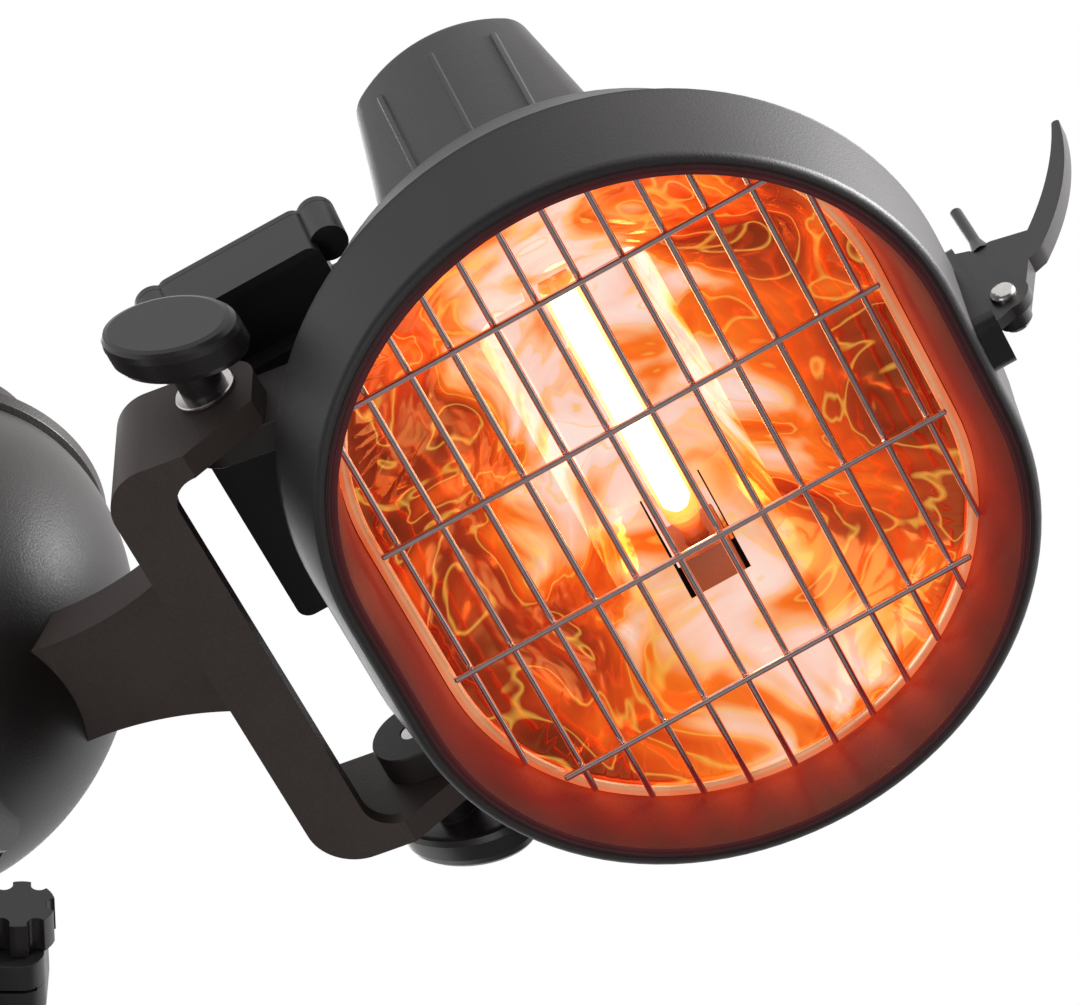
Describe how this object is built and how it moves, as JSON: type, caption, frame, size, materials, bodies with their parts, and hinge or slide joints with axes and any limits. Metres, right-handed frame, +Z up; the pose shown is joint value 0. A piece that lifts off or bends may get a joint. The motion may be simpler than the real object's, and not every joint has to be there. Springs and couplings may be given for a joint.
{
  "type": "parasol heater",
  "caption": "Electric parasol heater: a hub that clamps on a pole, with two tilting lamp heads on forked arms, wire guards and rib hooks.",
  "frame": {"origin": "centre of the pole clamp's bore, at half its length", "axes": "+Z up along the pole, +X along the arm of head a, -X along that of head b"},
  "size_m": [0.7056, 0.2366, 0.27],
  "materials": {
    "shell_paint": "textured charcoal powder coat",
    "cast_arm": "textured grey-brown powder coat on a casting",
    "hub_paint": "textured dark powder coat",
    "box_paint": "satin charcoal moulding",
    "lug_paint": "satin charcoal",
    "hook_paint": "satin charcoal moulding",
    "knob_plastic": "satin charcoal moulding",
    "clamp_plastic": "satin black moulding",
    "inner_plastic": "cream terminal moulding",
    "sleeve_steel": "black coated tube",
    "screw_steel": "zinc plated",
    "guard_chrome": "polished wire",
    "reflector_gold": "polished, gold tinted",
    "lamp_quartz": "lit quartz tube",
    "ceramic_white": "glazed off"
  },
  "bodies": {
    "mount": {"pole_sleeve": "sleeve_steel", "hub_bowl": "hub_paint", "hub_cover": "hub_paint", "terminal_ring": "inner_plastic", "cover_screws": "screw_steel", "clamp_base": "clamp_plastic", "clamp_jaw": "clamp_plastic", "arm_a": "cast_arm", "yoke_a": "cast_arm", "arm_b": "cast_arm", "yoke_b": "cast_arm"},
    "clamp_knob_left": {"clamp_knob_left": "knob_plastic"},
    "clamp_knob_right": {"clamp_knob_right": "knob_plastic"},
    "head_a": {"front_shell_a": "shell_paint", "rear_shell_a": "shell_paint", "rear_cap_a": "shell_paint", "guard_a": "guard_chrome", "reflector_a": "reflector_gold", "lamp_a": "lamp_quartz", "lamp_holders_a": "ceramic_white", "junction_box_a": "box_paint", "box_lid_a": "box_paint", "pivot_lugs_a": "lug_paint", "hook_bracket_a": "hook_paint", "head_screws_a": "screw_steel"},
    "knob_upper_a": {"knob_upper_a": "knob_plastic"},
    "knob_lower_a": {"knob_lower_a": "knob_plastic"},
    "hook_a": {"hook_a": "hook_paint"},
    "head_b": {"front_shell_b": "shell_paint", "rear_shell_b": "shell_paint", "rear_cap_b": "shell_paint", "guard_b": "guard_chrome", "reflector_b": "reflector_gold", "lamp_b": "lamp_quartz", "lamp_holders_b": "ceramic_white", "junction_box_b": "box_paint", "box_lid_b": "box_paint", "pivot_lugs_b": "lug_paint", "hook_bracket_b": "hook_paint", "head_screws_b": "screw_steel"},
    "knob_upper_b": {"knob_upper_b": "knob_plastic"},
    "knob_lower_b": {"knob_lower_b": "knob_plastic"},
    "hook_b": {"hook_b": "hook_paint"}
  },
  "joints": [
    {"name": "clamp_turn_left", "type": "hinge", "parent": "mount", "child": "clamp_knob_left", "pos_m": [-0.03127, -0.01458, 0], "axis": [-0.4226, 0.9063, 0], "continuous": true},
    {"name": "clamp_turn_right", "type": "hinge", "parent": "mount", "child": "clamp_knob_right", "pos_m": [0.03127, 0.01458, 0], "axis": [-0.4226, 0.9063, 0], "continuous": true},
    {"name": "head_tilt_a", "type": "hinge", "parent": "mount", "child": "head_a", "pos_m": [0.126, 0, 0.097], "axis": [0, 1, 0], "range_deg": [-30, 40]},
    {"name": "knob_turn_upper_a", "type": "hinge", "parent": "head_a", "child": "knob_upper_a", "pos_m": [0.126, 0, 0.097], "axis": [0, 1, 0], "continuous": true},
    {"name": "knob_turn_lower_a", "type": "hinge", "parent": "head_a", "child": "knob_lower_a", "pos_m": [0.126, 0, 0.097], "axis": [0, 1, 0], "continuous": true},
    {"name": "hook_swing_a", "type": "hinge", "parent": "head_a", "child": "hook_a", "pos_m": [0.33258, 0, 0.1078], "axis": [0, 1, 0], "range_deg": [0, 60]},
    {"name": "head_tilt_b", "type": "hinge", "parent": "mount", "child": "head_b", "pos_m": [-0.126, 0, 0.097], "axis": [0, -1, 0], "range_deg": [-30, 40]},
    {"name": "knob_turn_upper_b", "type": "hinge", "parent": "head_b", "child": "knob_upper_b", "pos_m": [-0.126, 0, 0.097], "axis": [0, -1, 0], "continuous": true},
    {"name": "knob_turn_lower_b", "type": "hinge", "parent": "head_b", "child": "knob_lower_b", "pos_m": [-0.126, 0, 0.097], "axis": [0, -1, 0], "continuous": true},
    {"name": "hook_swing_b", "type": "hinge", "parent": "head_b", "child": "hook_b", "pos_m": [-0.33258, 0, 0.1078], "axis": [0, -1, 0], "range_deg": [0, 60]}
  ]
}
